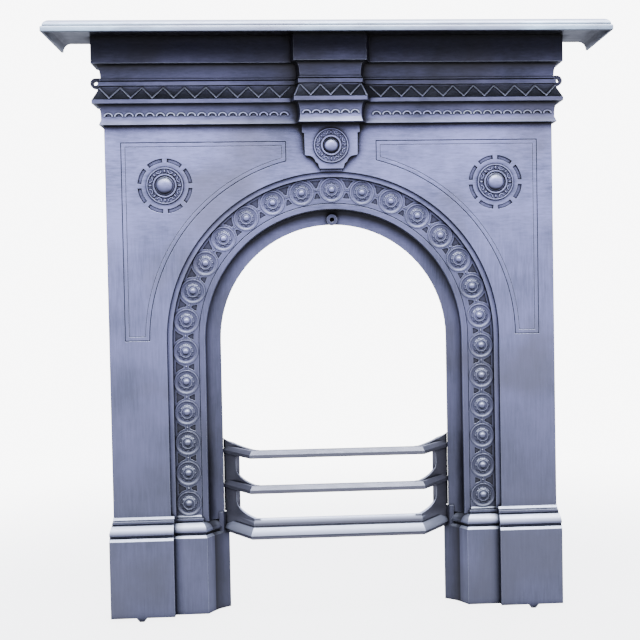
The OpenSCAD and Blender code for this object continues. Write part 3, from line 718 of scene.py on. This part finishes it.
class FIREPLACE_OT_zigzag(bpy.types.Operator):
    """Makes the raised zigzag on the sloping band of the frieze"""

    bl_idname = "fireplace.zigzag"
    bl_label = "Zigzag"

    def execute(self, context):
        sizes = context.scene.casting_sizes
        top_out, drop_out = 4 * MM, 10.2 * MM
        runs = []
        y = FRIEZE_Y - top_out
        end_x = BODY_HALF + top_out
        inner_x = CONSOLE_FOOT_HALF + 12 * MM
        whole = round((end_x - inner_x) / sizes.zigzag_pitch)
        runs.append((Vector((-end_x, y, ZIGZAG_TOP_Z)), Vector((-inner_x, y, ZIGZAG_TOP_Z)), whole))
        runs.append((Vector((inner_x, y, ZIGZAG_TOP_Z)), Vector((end_x, y, ZIGZAG_TOP_Z)), whole))
        y = CONSOLE_Y - top_out
        half = CONSOLE_HALF + 1 * MM
        runs.append((Vector((-half, y, ZIGZAG_TOP_Z)), Vector((half, y, ZIGZAG_TOP_Z)), 3))
        for hand in (-1, 1):
            front = Vector((hand * end_x, FRIEZE_Y - top_out, ZIGZAG_TOP_Z))
            back = Vector((hand * end_x, BACK_Y - 12 * MM, ZIGZAG_TOP_Z))
            runs.append((back, front, 1) if hand < 0 else (front, back, 1))
        places, knobs = [], []
        for start, end, count in runs:
            bars, points = zigzag_bars(start, end, drop_out, count)
            places += bars
            knobs += points
        bm, shape = bmesh.new(), bmesh.new()
        bmesh.ops.create_cube(shape, size=1)
        stamp(bm, shape, places)
        shape = bmesh.new()
        bmesh.ops.create_uvsphere(shape, u_segments=10, v_segments=6, radius=1.5 * MM)
        stamp(bm, shape, knobs)
        # The hips of the console, where the band turns its corners
        hips = []
        for hand in (-1, 1):
            a = Vector((hand * (CONSOLE_HALF + 3.2 * MM), CONSOLE_Y - top_out, ZIGZAG_TOP_Z))
            b = Vector((hand * (CONSOLE_HALF + 11.2 * MM), CONSOLE_Y - top_out - drop_out,
                        ZIGZAG_FOOT_Z))
            direction = (b - a).normalized()
            side = Vector((0, -1, 0)).cross(direction).normalized()
            turn = Matrix((direction, side, direction.cross(side))).transposed().to_4x4()
            hips.append(Matrix.Translation((a + b) / 2) @ turn
                        @ Matrix.Diagonal(((b - a).length, 1.6 * MM, 1.6 * MM, 1)))
        shape = bmesh.new()
        bmesh.ops.create_cube(shape, size=1)
        stamp(bm, shape, hips)
        add_piece("frieze_zigzag", bm, "burnished_iron", ORNAMENT_SHARP, "rubbed_iron")
        return {"FINISHED"}


def half_loop(radius, tube, squash):
    """A raised half ring standing on its plane, open downward, with round ends."""
    shape = bmesh.new()
    profile = [(radius + tube * math.cos(a), tube * math.sin(a))
               for a in (math.tau * i / 6 for i in range(6))]
    turned_ring(shape, profile, 10, math.pi)
    bmesh.ops.holes_fill(shape, edges=shape.edges[:], sides=0)
    bmesh.ops.scale(shape, vec=(1, squash, 1), verts=shape.verts)
    return closed(shape)


class FIREPLACE_OT_crescents(bpy.types.Operator):
    """Makes the row of small crescents in the hollow of the frieze"""

    bl_idname = "fireplace.crescents"
    bl_label = "Crescents"

    def execute(self, context):
        sizes = context.scene.casting_sizes
        bm = bmesh.new()
        stamp(bm, half_loop(sizes.crescent_radius, CRESCENT_TUBE, CRESCENT_SQUASH),
              [facing(at) for at in crescent_places()])
        add_piece("frieze_crescents", bm, "burnished_iron", ORNAMENT_SHARP, "rubbed_iron")
        return {"FINISHED"}


class FIREPLACE_OT_leaves(bpy.types.Operator):
    """Makes the leaf rings of the two corner roundels and of the rosette on the shield"""

    bl_idname = "fireplace.leaves"
    bl_label = "Leaf rings"

    def execute(self, context):
        bm = bmesh.new()
        centres = [(Vector((-ROUNDEL_X, FACE_Y, ROUNDEL_Z)), 1.0),
                   (Vector((ROUNDEL_X, FACE_Y, ROUNDEL_Z)), 1.0),
                   (Vector((0, SHIELD_Y, SHIELD_ROSETTE_Z)), 0.93)]
        leaves, leaf_radius, leaf_circle, tongue_circle = 8, 3.9 * MM, 24.6 * MM, 23 * MM
        loops, tongues = [], []
        for centre, scale in centres:
            for i in range(leaves):
                spoke = (facing(centre) @ Matrix.Scale(scale, 4)
                         @ Matrix.Rotation(math.tau * (i + 0.5) / leaves, 4, "Z"))
                loops.append(spoke @ Matrix.Translation((leaf_circle, 0, 2.1 * MM))
                             @ Matrix.Rotation(math.pi / 2, 4, "Z"))
                spoke = spoke @ Matrix.Rotation(math.tau / (2 * leaves), 4, "Z")
                tongues.append(spoke @ Matrix.Translation((tongue_circle, 0, 2.2 * MM))
                               @ Matrix.Diagonal((3.2 * MM, 1.6 * MM, 1.7 * MM, 1)))
        stamp(bm, half_loop(leaf_radius, LEAF_TUBE, LEAF_SQUASH), loops)
        shape = bmesh.new()
        bmesh.ops.create_uvsphere(shape, u_segments=10, v_segments=8, radius=1)
        stamp(bm, shape, tongues)
        add_piece("roundel_leaves", bm, "burnished_iron", ORNAMENT_SHARP)
        return {"FINISHED"}


class FIREPLACE_OT_shelf_and_bars(bpy.types.Operator):
    """Makes the mantel shelf and the front bars from their CAD nodes"""

    bl_idname = "fireplace.shelf_and_bars"
    bl_label = "Shelf and bars"

    def execute(self, context):
        casting_of("mantel_shelf", "shelf_casting", "shelf_iron")
        casting_of("front_bars", "bars_casting", "bar_iron")
        return {"FINISHED"}


# ---------------------------------------------------------------- the studio


def area_light(name, at, aim, size, power, colour):
    """A rectangular soft light, aimed at a point."""
    light = bpy.data.lights.new(name, "AREA")
    light.shape, light.size, light.size_y = "RECTANGLE", size[0], size[1]
    light.energy, light.color = power, linear(colour)
    lamp = bpy.data.objects.new(name, light)
    bpy.context.scene.collection.objects.link(lamp)
    lamp.location = at
    lamp.rotation_euler = (Vector(aim) - Vector(at)).to_track_quat("-Z", "Y").to_euler()


def floor_material():
    """Matt painted floor that fades into the backdrop."""
    backdrop = bpy.context.scene.studio_settings.backdrop
    material = bpy.data.materials.new("painted_floor")
    material.use_nodes = True
    tree = material.node_tree
    tree.nodes.clear()
    place = add_node(tree, "ShaderNodeTexCoord").outputs["Object"]
    away = add_node(tree, "ShaderNodeVectorMath", {"operation": "LENGTH"},
                    {0: place}).outputs["Value"]
    fade = add_node(tree, "ShaderNodeMapRange",
                    {"From Min": 0.5, "From Max": 1.8, "To Min": 0.55,
                     "interpolation_type": "SMOOTHSTEP"}, {"Value": away}).outputs["Result"]
    seen = add_node(tree, "ShaderNodeLightPath").outputs["Is Camera Ray"]
    fade = add_node(tree, "ShaderNodeMath", {"operation": "MULTIPLY"},
                    {0: fade, 1: seen}).outputs[0]
    # The iron mirrors a duller floor than the one that shows, as on a lawn or a stone hearth
    shade = add_node(tree, "ShaderNodeMix",
                     {"data_type": "RGBA", 6: (0.36, 0.36, 0.36, 1), 7: (0.6, 0.6, 0.61, 1)},
                     {"Factor": seen}).outputs[2]
    paint = add_node(tree, "ShaderNodeBsdfPrincipled", {"Roughness": 0.9}, {"Base Color": shade})
    glow = add_node(tree, "ShaderNodeEmission",
                    {"Color": (*backdrop, 1), "Strength": BACKDROP_GLOW})
    mixed = add_node(tree, "ShaderNodeMixShader",
                     links={0: fade, 1: paint.outputs["BSDF"], 2: glow.outputs["Emission"]})
    add_node(tree, "ShaderNodeOutputMaterial", links={"Surface": mixed.outputs["Shader"]})
    return material


def studio_world():
    """Soft daylight, bright above and dim below. To the camera it is the backdrop's colour."""
    backdrop = bpy.context.scene.studio_settings.backdrop
    world = bpy.data.worlds.new("studio")
    bpy.context.scene.world = world
    world.use_nodes = True
    tree = world.node_tree
    tree.nodes.clear()
    way = add_node(tree, "ShaderNodeTexCoord").outputs["Generated"]
    parts = add_node(tree, "ShaderNodeSeparateXYZ", links={"Vector": way})
    up = add_node(tree, "ShaderNodeMapRange",
                  {"From Min": -0.25, "From Max": 0.55, "To Min": 0.18, "To Max": 3.5,
                   "interpolation_type": "SMOOTHSTEP"},
                  {"Value": parts.outputs["Z"]}).outputs["Result"]
    sky = add_node(tree, "ShaderNodeBackground", {"Color": (*linear("#dde3ff"), 1)},
                   {"Strength": up})
    shown = add_node(tree, "ShaderNodeBackground",
                     {"Color": (*backdrop, 1), "Strength": BACKDROP_GLOW})
    seen = add_node(tree, "ShaderNodeLightPath").outputs["Is Camera Ray"]
    mixed = add_node(tree, "ShaderNodeMixShader",
                     links={0: seen, 1: sky.outputs[0], 2: shown.outputs[0]})
    add_node(tree, "ShaderNodeOutputWorld", links={"Surface": mixed.outputs["Shader"]})


class FIREPLACE_OT_stage(bpy.types.Operator):
    """Makes the floor, the lights and the camera"""

    bl_idname = "fireplace.stage"
    bl_label = "Studio and camera"

    def execute(self, context):
        studio = context.scene.studio_settings
        bm = bmesh.new()
        bmesh.ops.create_circle(bm, cap_ends=True, radius=FLOOR_RADIUS, segments=96)
        mesh = bpy.data.meshes.new("studio_floor")
        bm.to_mesh(mesh)
        bm.free()
        floor = bpy.data.objects.new("studio_floor", mesh)
        context.scene.collection.objects.link(floor)
        mesh.materials.append(floor_material())
        studio_world()
        area_light("key_light", (-1.9, -2.3, 1.9), (0, 0, 0.55), (1.8, 2.0),
                   studio.key_power, "#e9efff")
        area_light("fill_light", (2.2, -1.6, 1.1), (0, 0, 0.5), (1.2, 1.6),
                   studio.fill_power, "#ffffff")
        area_light("top_light", (0.2, -1.0, 2.6), (0, 0, 0.9), (2.0, 1.0),
                   studio.top_power, "#eef4ff")

        camera = bpy.data.cameras.new("camera")
        camera.lens, camera.sensor_width = CAMERA_LENS, CAMERA_SENSOR
        camera.shift_x = CAMERA_SHIFT
        view = bpy.data.objects.new("camera", camera)
        context.scene.collection.objects.link(view)
        yaw, pitch, roll = (math.radians(turn) for turn in (CAMERA_YAW, CAMERA_PITCH, CAMERA_ROLL))
        ahead = Vector((math.sin(yaw) * math.cos(pitch), math.cos(yaw) * math.cos(pitch),
                        math.sin(pitch)))
        level = Vector((math.cos(yaw), -math.sin(yaw), 0))
        upward = level.cross(ahead)
        right = math.cos(roll) * level + math.sin(roll) * upward
        head = -math.sin(roll) * level + math.cos(roll) * upward
        view.matrix_world = (Matrix.Translation(CAMERA_PLACE)
                             @ Matrix((right, head, -ahead)).transposed().to_4x4())
        context.scene.camera = view
        return {"FINISHED"}


class FIREPLACE_PT_panel(bpy.types.Panel):
    """Buttons for the surround's pieces and the studio"""

    bl_idname = "FIREPLACE_PT_panel"
    bl_label = "Fireplace surround"
    bl_space_type = "VIEW_3D"
    bl_region_type = "UI"
    bl_category = "Fireplace"

    def draw(self, context):
        for operator in OPERATORS:
            self.layout.operator(operator.bl_idname)
        for group in (context.scene.casting_sizes, context.scene.iron_colours,
                      context.scene.studio_settings):
            for name in group.bl_rna.properties.keys():
                if name not in ("rna_type", "name"):
                    self.layout.prop(group, name)


OPERATORS = (FIREPLACE_OT_surround, FIREPLACE_OT_rosettes, FIREPLACE_OT_zigzag,
             FIREPLACE_OT_crescents, FIREPLACE_OT_leaves, FIREPLACE_OT_shelf_and_bars,
             FIREPLACE_OT_stage)
GROUPS = {"casting_sizes": CastingSizes, "iron_colours": IronColours,
          "studio_settings": StudioSettings}


def register():
    for cls in (*GROUPS.values(), *OPERATORS, FIREPLACE_PT_panel):
        bpy.utils.register_class(cls)
    for name, cls in GROUPS.items():
        setattr(bpy.types.Scene, name, bpy.props.PointerProperty(type=cls))


def unregister():
    for name in GROUPS:
        delattr(bpy.types.Scene, name)
    for cls in (FIREPLACE_PT_panel, *OPERATORS, *GROUPS.values()):
        bpy.utils.unregister_class(cls)


def main():
    register()
    bpy.ops.fireplace.surround()
    bpy.ops.fireplace.rosettes()
    bpy.ops.fireplace.zigzag()
    bpy.ops.fireplace.crescents()
    bpy.ops.fireplace.leaves()
    bpy.ops.fireplace.shelf_and_bars()
    bpy.ops.fireplace.stage()


if __name__ == "__main__":
    main()
